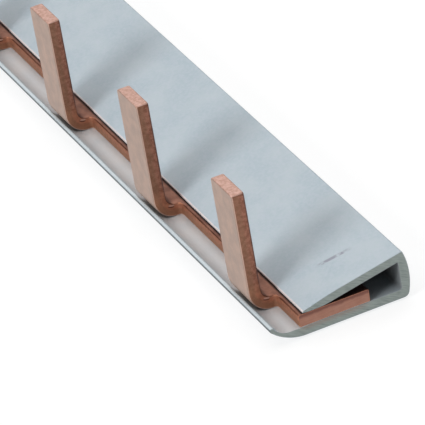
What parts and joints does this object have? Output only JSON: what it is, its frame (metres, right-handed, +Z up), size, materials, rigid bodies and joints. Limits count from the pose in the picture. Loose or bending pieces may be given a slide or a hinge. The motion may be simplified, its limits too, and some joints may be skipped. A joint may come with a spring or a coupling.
{
  "type": "comb busbar",
  "caption": "Flat copper bar with a row of upright rectangular pins, lying in a grey extruded insulating profile, to link the terminals of modular circuit breakers.",
  "frame": {"origin": "middle of the length and width, on the profile's underside", "axes": "+X along the bar, -Y the pin side, +Z up, the way the pins point"},
  "size_m": [0.2076, 0.012, 0.0115],
  "materials": {
    "copper": "bare rolled copper, satin, with sheared edges",
    "grey_pvc": "extruded grey PVC, matt"
  },
  "bodies": {
    "root": {"copper_comb": "copper", "insulating_profile": "grey_pvc"}
  },
  "joints": []
}
